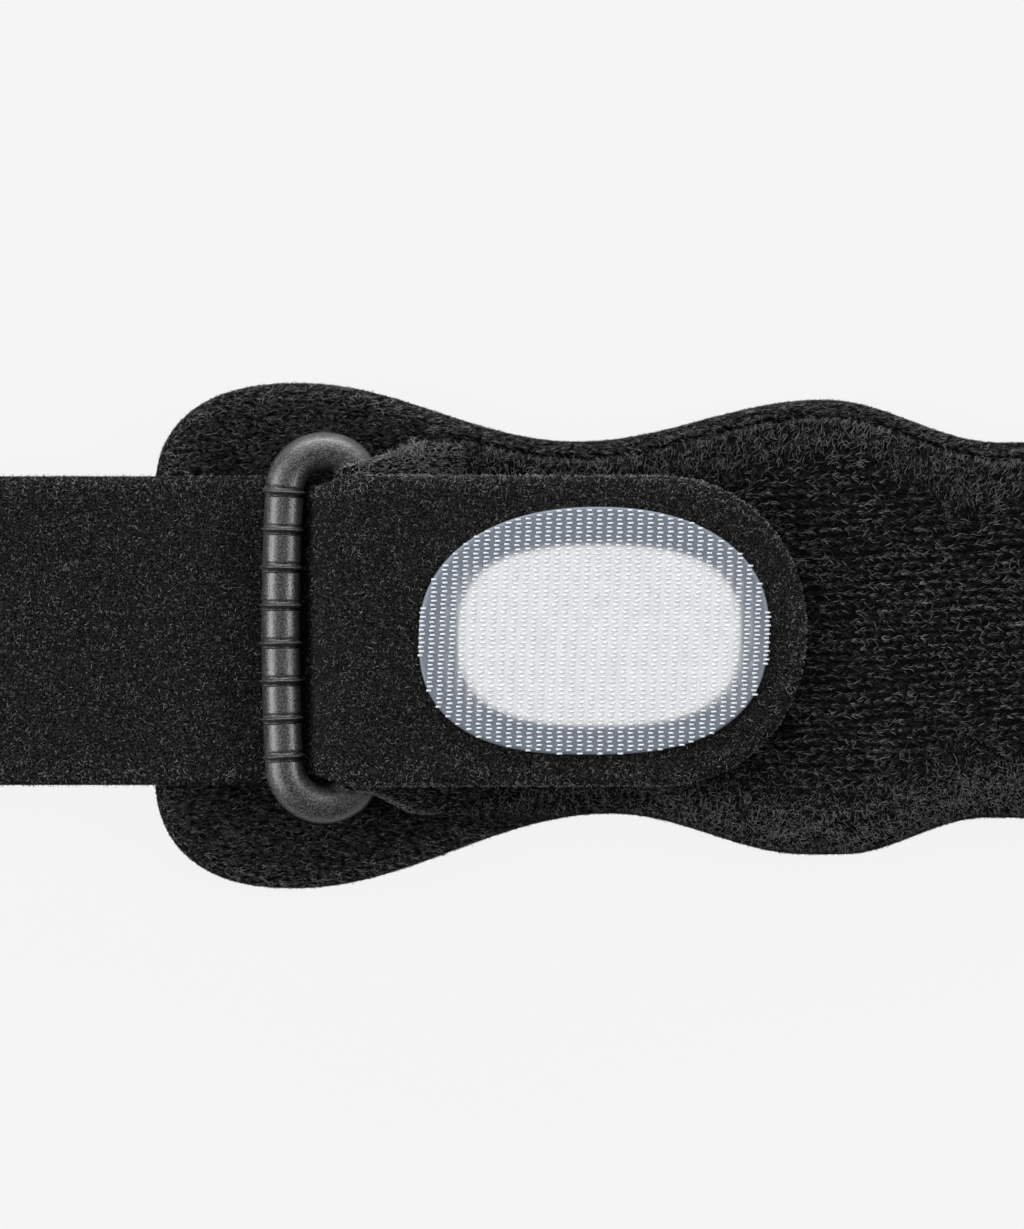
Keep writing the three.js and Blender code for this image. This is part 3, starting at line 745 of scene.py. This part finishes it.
bar_bow = 0.4
ring_offset = 0.3
end_radius = bar_span / 2
straight = ring_length / 2 - bar_radius - end_radius
rib_count, rib_pitch = 8, 3.9
rib_places = ring_offset + (np.arange(rib_count) - (rib_count - 1) / 2) * rib_pitch
# Height of a rib over the bar, by the distance across it: a rounded crest between two shallow grooves.
rib_section = (
    [-0.56, -0.5, -0.45, -0.4, -0.34, -0.19, -0.02, 0.04, 0.09, 0.14, 0.2, 0.28, 0.42, 0.56, 0.7],
    [0, 0, -0.12, -0.36, -0.42, -0.16, 0.23, 0.31, 0.33, 0.28, 0.1, -0.07, -0.13, -0.06, 0],
)


def ring_surface(sides):
    """A tube round a closed line in the ring's own plane. The line is two bars that bow out by a parabola, joined by
    half circles. On the left bar the radius follows the ribs' section on the upper and outer faces."""
    near_ribs = (rib_places[:, None] + np.linspace(-0.56, 0.72, 27)).ravel()
    left_y = np.unique(np.concatenate([near_ribs, np.linspace(-straight, straight, 70)]))[::-1]
    right_y = np.linspace(-straight, straight, 40)
    bow = [end_radius + bar_bow * (1 - (y / straight) ** 2) for y in (left_y, right_y)]
    turn = np.linspace(0, np.pi, 42)[1:-1]
    half_circle = np.column_stack([np.cos(turn) * end_radius, straight + np.sin(turn) * end_radius])
    line = np.concatenate(
        [np.column_stack([bow[1], right_y]), half_circle, np.column_stack([-bow[0], left_y]), -half_circle]
    )
    on_left = np.concatenate([np.zeros(len(right_y) + len(turn)), np.ones(len(left_y)), np.zeros(len(turn))])
    off = line[:, 1:2] - rib_places
    off = off[np.arange(len(off)), np.abs(off).argmin(1)]
    rise = on_left * np.interp(off, *rib_section)
    ahead = np.roll(line, -1, 0) - np.roll(line, 1, 0)
    ahead /= np.linalg.norm(ahead, axis=1, keepdims=True)
    angle = np.linspace(0, 2 * np.pi, sides, endpoint=False)
    upper_and_outer = smoothstep(-0.55, -0.15, np.sin(angle)) * smoothstep(-1.0, -0.93, np.cos(angle))
    on_top = smoothstep(0.1, 0.5, np.sin(angle))
    radius = bar_radius + np.where(rise[:, None] > 0, rise[:, None] * upper_and_outer, rise[:, None] * on_top)
    out = radius * np.cos(angle)
    x = line[:, :1] + ahead[:, 1:] * out
    y = line[:, 1:] - ahead[:, :1] * out
    z = radius * np.sin(angle)
    tilted_x = x * np.cos(ring_tilt) + z * np.sin(ring_tilt)
    tilted_z = z * np.cos(ring_tilt) - x * np.sin(ring_tilt)
    place = np.array([ring_middle_x, strap_middle_y + ring_offset, (left_bar_z + right_bar_z) / 2])
    points = np.stack([tilted_x, y, tilted_z], -1) + place
    first = grid_faces(len(line), sides, around=True)
    last = grid_faces(2, sides, around=True)
    joined = np.where(last < sides, last + (len(line) - 1) * sides, last - sides)
    return points.reshape(-1, 3), np.concatenate([first, joined])


ring_points, ring_faces = ring_surface(34)
# Acetal, moulded in a spark-eroded tool. Its fine pits give broad soft highlights with a speckle in them. The pits are
# 0.05 mm across and are drawn at 0.2 mm. Handling has left patches about 4 mm wide that differ a little in gloss.
satin_plastic, tree = new_material("moulded_acetal_satin")
place = add(tree, "ShaderNodeTexCoord").outputs["Object"]
grain = add(tree, "ShaderNodeTexNoise", [("Vector", place)], Scale=5200.0, Detail=1.0, Roughness=0.5)
speckle = add(tree, "ShaderNodeValToRGB", [("Fac", grain.outputs[0])], [(0.42, "#050505"), (0.62, "#383838")])
relief = add(tree, "ShaderNodeBump", [("Height", grain.outputs[0])], Strength=0.6, Distance=0.00006)
wear = add(tree, "ShaderNodeTexNoise", [("Vector", place)], Scale=260.0, Detail=4.0)
patches = [("Value", wear.outputs[0])]
gloss = add(tree, "ShaderNodeMapRange", patches, From_Min=0.3, From_Max=0.7, To_Min=0.34, To_Max=0.44)
surface = add(
    tree,
    "ShaderNodeBsdfPrincipled",
    [("Base Color", speckle.outputs[0]), ("Roughness", gloss.outputs[0]), ("Normal", relief.outputs[0])],
    IOR=1.5,
    Specular_IOR_Level=0.6,
)
add(tree, "ShaderNodeOutputMaterial", [("Surface", surface.outputs[0])])
ring = put_mesh("ring_loop", ring_points, ring_faces, satin_plastic)
close_seams(ring)
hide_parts("ring")
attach(ring, "root")

# The strap
# A band of black loop-pile fabric, 32 mm wide. It is sewn onto the cover's right end, turns under the pad, comes back
# at the left, passes under the ring's left bar and over its right bar, and ends in a rounded tip.

strap_half = 16.0
left_reach, right_reach = 26.5, 6.5
free_length, tip_length, root_length = 49.8, 15.5, 16.0
pinch, pinch_reach = 1.05, 5.5
tip_exponent = 2.1
half_strap = strap_thickness / 2
low_height = pad_top + clearance + half_strap
high_height = cover_height + cover_thickness / 2 + clearance + half_strap
right_turn, left_turn = (high_height - half_strap) / 2, (low_height - half_strap) / 2
tip_x = ring_middle_x + free_length
strap_stops = [
    (cover_end_x - root_length, high_height, 0, 0),
    (pad_middle_x + half_pad + right_reach - half_strap - right_turn, half_strap + right_turn, right_turn, -1),
    (pad_middle_x - half_pad - left_reach + half_strap + left_turn, half_strap + left_turn, left_turn, -1),
    (left_bar_x, left_bar_z, bar_radius + clearance + half_strap, 1),
    (right_bar_x, right_bar_z, bar_radius + 2 * clearance + cover_thickness + half_strap, -1),
    (tip_x, high_height, 0, 0),
]
sx, sz, sangle, salong = belt_route(strap_stops, 0.8)
tip_crowd = salong[-1] - tip_length * (1 - np.sin(np.linspace(0, np.pi / 2, 60)))
strap_along = np.unique(np.concatenate([with_fine_ends(salong), tip_crowd]))
sx, sz, sangle = (np.interp(strap_along, salong, values) for values in (sx, sz, sangle))
salong = strap_along
# Half the strap's width along its route: drawn in a little where it passes the ring, and a superellipse at the tip.
ring_along = salong[np.argmin(np.hypot(sx - ring_middle_x, sz - left_bar_z))]
past_tip = np.clip(1 - (salong[-1] - salong) / tip_length, 0, 1)
near_ring = np.clip(1 - np.abs(salong - ring_along) / pinch_reach, 0, 1)
strap_edge = strap_half - pinch * near_ring**2 * (3 - 2 * near_ring)
strap_edge = strap_edge * (1 - past_tip**tip_exponent) ** (1 / tip_exponent)
strap_edge = np.maximum(strap_edge, 0.001)
strap_columns = 28
strap_points, strap_faces = strip(
    (sx, sz, sangle, salong), strap_edge, strap_edge, rounded(half_strap, 0.9), rounded(half_strap, 0.7), strap_columns
)
strap_colours = dict(deep="#010101", tuft="#262626", dark="#020202", mid="#191919", bright="#6a6a6a")
# Warp-knitted nylon whose loops are napped for the hooks to grip. Between them the ground looks matt black, with a
# 0.17 mm grain.
loop_cloth = cloth_material("nylon_loop_pile_ground", strap_colours, 0.17, 0.08)
strap = put_mesh("strap_band", strap_points, strap_faces, loop_cloth)
close_seams(strap)
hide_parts("strap")
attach(strap, "root")

patch_back = 22.2
slope = sangle[-1]
patch_along = np.array([np.cos(slope), 0, np.sin(slope)])
patch_up = np.array([-np.sin(slope), 0, np.cos(slope)])
patch_middle = np.array([sx[-1], strap_middle_y, sz[-1]]) - patch_along * patch_back + patch_up * half_strap
patch_half = np.array([18.2, 12.78])
patch_powers = (2.2, 2.6)
patch_shear = 0.03


def patch_radius(along, across):
    """Where a place is on the patch: 0 at its middle and 1 at its rim, by a superellipse that is rounder above than
    below."""
    power = np.where(across > 0, *patch_powers)
    return (np.abs(along / patch_half[0]) ** power + np.abs(across / patch_half[1]) ** power) ** (1 / power)


# The pile stands on the face that is outside on the tip. It is dense where the strap is seen, sparse underneath, and
# left out under the patch and where the strap lies on the table.
strap_rng = np.random.default_rng(37)
pile_face = strap_faces[:, 0] % (2 * strap_columns) < strap_columns
centres = strap_points[strap_faces].mean(1)
way_out = way_out_of(strap_points, strap_faces, pile_face & (centres[:, 2] > low_height))
from_patch = centres - patch_middle
on_patch = patch_radius(from_patch @ patch_along, from_patch[:, 1]) < 0.985
on_patch &= (centres[:, 2] > high_height - 0.5) & (centres[:, 0] < tip_x) & (centres[:, 0] > right_bar_x)
seen = (centres[:, 2] > low_height) & (centres[:, 0] < tip_x + 1)
on_table = centres[:, 2] < half_strap + 1.0
density = np.where(pile_face, np.where(seen, 24.0, np.where(on_table, 0.0, 8.0)), 0.0) * ~on_patch
roots, normals, owner = scatter(strap_points, strap_faces, density, strap_rng)
shown = (roots[:, 2] > low_height) & (roots[:, 0] < tip_x + 1)
# The loops themselves: 0.03 mm filaments that curl every way, drawn at 0.055 mm. Their shade is raised along the
# strap's edges and most at the free end's rim: painted light, for edges that catch the light.
loop_pile = pile_material("nylon_loop_pile", strap_colours)
for name, part in (("strap_pile_shown", shown), ("strap_pile_rest", ~shown)):
    points, faces = fibres(roots[part], normals[part] * way_out, strap_rng, 0.52, 0.055, 0.22, curl=1.5)
    row = owner[part] // (2 * strap_columns)
    from_edge = np.minimum(strap_edge[row] - np.abs(roots[part, 1] - strap_middle_y), tip_x - roots[part, 0])
    edge_light = 0.18 * (1 - smoothstep(0.4, 3.2, from_edge))
    rim_light = 0.4 * (1 - smoothstep(0.1, 0.45, from_edge)) * (roots[part, 0] > right_bar_x)
    shade = np.clip(strap_rng.beta(1.2, 1.8, part.sum()) + (edge_light + rim_light), 0, 1)
    put_pile(name, points, faces, shade, loop_pile)


def stitches(starts, ends, pitch, thread, height):
    """Stitches along straight lines at one height. Each is a spindle that bows up by half the thread's width: its
    radius follows the fourth root of 1 - t * t, for t from -1 to 1 along it."""
    rings, sides = 9, 8
    centres, ways = [], []
    for start, end in zip(starts, ends):
        count = int(round(np.linalg.norm(end - start) / pitch))
        share = (np.arange(count) + 0.5) / count
        centres.append(start + np.outer(share, end - start))
        ways.append(np.tile((end - start) / np.linalg.norm(end - start), (count, 1)))
    centres, ways = np.concatenate(centres), np.concatenate(ways)
    t = np.linspace(-1, 1, rings)[:, None]
    angle = np.linspace(0, 2 * np.pi, sides, endpoint=False)
    radius = thread / 2 * np.clip(1 - t * t, 1e-6, 1) ** 0.25
    out, up = radius * np.cos(angle), radius * np.sin(angle) + thread * (0.5 - 0.5 * t * t)
    ahead = np.broadcast_to(t * (pitch - 1.5 * thread) / 2, out.shape)
    x = centres[:, 0, None, None] + ways[:, 0, None, None] * ahead - ways[:, 1, None, None] * out
    y = centres[:, 1, None, None] + ways[:, 1, None, None] * ahead + ways[:, 0, None, None] * out
    points = np.stack([x, y, np.broadcast_to(height + up, x.shape)], -1).reshape(-1, 3)
    faces = grid_faces(rings, sides, around=True)
    return points, (np.arange(len(centres))[:, None, None] * (rings * sides) + faces).reshape(-1, 4)


# The root is sewn down by a box of stitches with a cross in it, 2 mm in from its end.
root_x = cover_end_x - root_length
box_start, box_end, box_half = root_x + 2, root_x + 13, 12.5
box = np.array([[box_start, box_half], [box_start, -box_half], [box_end, -box_half], [box_end, box_half]])
box = box + [0, strap_middle_y]
box_ends = np.concatenate([np.roll(box, -1, 0), box[[2, 3]]])
points, faces = stitches(np.concatenate([box, box[[0, 1]]]), box_ends, 2.8, 0.45, high_height + half_strap - 0.05)
# Bonded polyester sewing thread, twisted and waxed. It is a little lighter and smoother than the pile, with a 0.3 mm
# twist.
thread_black = cloth_material("bonded_polyester_thread", dict(black_pile, tuft="#3a3a3a"), 0.3, 0.04)
sewing = put_mesh("strap_sewing", points, faces, thread_black)
close_seams(sewing)
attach(sewing, "root")

# The hook patch
# A clear moulded plastic film welded onto the strap's tip, with rows of tiny hooks. A white tape lies under its middle,
# so the film looks grey over the strap and white over the tape.


def oval_sheet(half_size, powers, height_at, rings, around):
    """A disc in the patch's plane. Each ring is a superellipse, scaled by its share of the way out and sheared a
    little. height_at gives its height from that share."""
    angle = np.linspace(0, 2 * np.pi, around, endpoint=False)
    power = np.where(np.sin(angle) > 0, *powers)
    along = half_size[0] * np.sign(np.cos(angle)) * np.abs(np.cos(angle)) ** (2 / power)
    across = half_size[1] * np.sign(np.sin(angle)) * np.abs(np.sin(angle)) ** (2 / power)
    along = along + patch_shear * across
    loops = []
    for share in rings:
        spot = patch_middle + np.outer(along * share, patch_along) + np.outer(across * share, [0, 1, 0])
        loops.append(spot + patch_up * height_at(share))
    return np.concatenate(loops), grid_faces(len(rings), around, around=True)


film_top, film_round, film_foot, film_around = 0.5, 0.16, 0.22, 160
shares = np.concatenate([np.linspace(0, 0.96, 46), [0.975, 0.985, 0.992, 0.997, 1.0, 1.0]])


def film_height(share):
    """Level, with a small round at the rim that comes down onto the strap."""
    if share >= 1.0:
        return film_foot
    return film_top - film_round * smoothstep(0.98, 1.0, share) ** 2


film_points, film_faces = oval_sheet(patch_half, patch_powers, film_height, shares, film_around)
film_points[-film_around:] += patch_up * -0.2
hook_column_pitch, hook_row_pitch = 1.056, 0.44
tape_shift = (0.5, -0.5)


def backed(points):
    """How far the white tape backs a place on the patch: 1 over it and 0 outside it, by a superellipse. The change is
    soft, and at the sides it steps from one column of hooks to the next, as the film is thicker under each column."""
    along = (points - patch_middle) @ patch_along - tape_shift[0]
    across = points[:, 1] - patch_middle[1] - tape_shift[1]
    to_column = 2 * np.pi * along / hook_column_pitch
    stepped = along + 0.3 * np.sin(to_column)
    reach = (np.abs(stepped / 14.9) ** 2.7 + np.abs(across / 9.4) ** 2.7) ** (1 / 2.7)
    strips = 0.35 * (np.abs(along) > 12.5) * (0.5 + 0.5 * np.cos(to_column)) ** 2
    return np.maximum(1 - smoothstep(0.93, 1.05, reach), strips * (1 - smoothstep(1.06, 1.16, reach)))


def patch_plastic(name, over_strap, over_tape, roughness, specular, alpha):
    """Milky moulded plastic whose colour runs from one over the strap to one over the tape, with a faint cloudiness."""
    material, tree = new_material(name)
    place = add(tree, "ShaderNodeTexCoord").outputs["Object"]
    haze = add(tree, "ShaderNodeTexNoise", [("Vector", place)], Scale=700.0, Detail=3.0)
    share = add(tree, "ShaderNodeAttribute", attribute_name="backed").outputs["Fac"]
    two = add(tree, "ShaderNodeMix", [("Factor", share)], data_type="RGBA")
    two.inputs["A"].default_value = linear(over_strap)
    two.inputs["B"].default_value = linear(over_tape)
    veil = [("Value", haze.outputs[0])]
    bright = add(tree, "ShaderNodeMapRange", veil, From_Min=0.3, From_Max=0.7, To_Min=0.9, To_Max=1.0)
    cloudy = add(tree, "ShaderNodeHueSaturation", [("Color", two.outputs["Result"]), ("Value", bright.outputs[0])])
    surface = add(
        tree,
        "ShaderNodeBsdfPrincipled",
        [("Base Color", cloudy.outputs[0])],
        Roughness=roughness,
        Specular_IOR_Level=specular,
        IOR=1.5,
        Alpha=alpha,
    )
    add(tree, "ShaderNodeOutputMaterial", [("Surface", surface.outputs[0])])
    return material


# Polyethylene film, moulded in one sheet with its hooks. It is milky, so it looks blue-grey over the black strap and
# nearly white over the tape, with cloudy patches 1.4 mm wide.
clear_film = patch_plastic("moulded_polyethylene_film", "#777d87", "#d0d1d2", 0.4, 0.35, 0.6)
film = put_mesh("hook_patch_film", film_points, film_faces, clear_film)
mark(film, "backed", backed(film_points))
close_seams(film)
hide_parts("hook_film")
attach(film, "root")

tape_half = np.array([14.7, 9.3])
tape_points, tape_faces = oval_sheet(tape_half, (2.7, 2.7), lambda share: 0.25, np.linspace(0, 1, 24), 120)
tape_points += tape_shift[0] * patch_along + [0, tape_shift[1], 0]
# Close-woven white polyester tape, matt and even. Its threads are 0.3 mm apart and are drawn at 0.7 mm, as a faint
# unevenness.
white_tape, tree = new_material("white_polyester_tape")
place = add(tree, "ShaderNodeTexCoord").outputs["Object"]
weave = add(tree, "ShaderNodeTexNoise", [("Vector", place)], Scale=1500.0, Detail=2.0)
ramp = add(tree, "ShaderNodeValToRGB", [("Fac", weave.outputs[0])], [(0, "#c8c8c9"), (1, "#dededf")])
surface = add(tree, "ShaderNodeBsdfPrincipled", [("Base Color", ramp.outputs[0])], Roughness=0.8)
add(tree, "ShaderNodeOutputMaterial", [("Surface", surface.outputs[0])])
tape = put_mesh("hook_patch_tape", tape_points, tape_faces, white_tape)
close_seams(tape)
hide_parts("hook_backing")
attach(tape, "root")

# A hook seen from its side: along the patch, then up. Rows face opposite ways by turns.
hook_profile = np.array(
    [[-0.24, 0.0], [0.2, 0.0], [0.16, 0.1], [0.29, 0.15], [0.33, 0.21], [0.12, 0.26], [-0.1, 0.2], [-0.2, 0.09]]
)
hook_width = 0.19
hook_sunk = 0.02
column_lean, column_step = 0.045, 0.1
column, row = (g.ravel() for g in np.meshgrid(np.arange(-17, 18), np.arange(-29, 30)))
hook_across = row * hook_row_pitch + (column % 2) * column_step
hook_along = column * hook_column_pitch + column_lean * hook_across
inside = patch_radius(hook_along - patch_shear * hook_across, hook_across) < 0.997
hook_along, hook_across, facing = hook_along[inside], hook_across[inside], np.where(row[inside] % 2, 1.0, -1.0)
profile = np.column_stack([hook_profile, np.zeros(len(hook_profile))])
sides = np.stack([profile + [0, 0, -hook_width / 2], profile + [0, 0, hook_width / 2]]).reshape(-1, 3)
reach_along = hook_along[:, None] + facing[:, None] * sides[:, 0]
reach_across = hook_across[:, None] + sides[:, 2] * facing[:, None]
reach_up = film_top - hook_sunk + np.broadcast_to(sides[:, 1], reach_along.shape)
hook_points = patch_middle + reach_along[..., None] * patch_along + reach_across[..., None] * [0, 1, 0]
hook_points = hook_points + reach_up[..., None] * patch_up
count = len(hook_profile)
wall = [(i, (i + 1) % count, (i + 1) % count + count) for i in range(count)]
wall += [(i, (i + 1) % count + count, i + count) for i in range(count)]
lids = [(0, i + 1, i) for i in range(1, count - 1)] + [(count, count + i, count + i + 1) for i in range(1, count - 1)]
hook_pattern = np.array(wall + lids).ravel()
hook_faces = (np.arange(len(hook_along))[:, None] * 2 * count + hook_pattern).reshape(-1, 3)
# The same polyethylene. A hook is thick enough to look nearly white, and its bent tip shows as a bright dot.
hook_plastic = patch_plastic("moulded_polyethylene_hooks", "#acb2b9", "#b8babc", 0.45, 0.25, 1.0)
hook_points = hook_points.reshape(-1, 3)
hooks = put_mesh("hook_patch_hooks", hook_points, hook_faces, hook_plastic, smooth=False)
mark(hooks, "backed", backed(hook_points))
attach(hooks, "root")
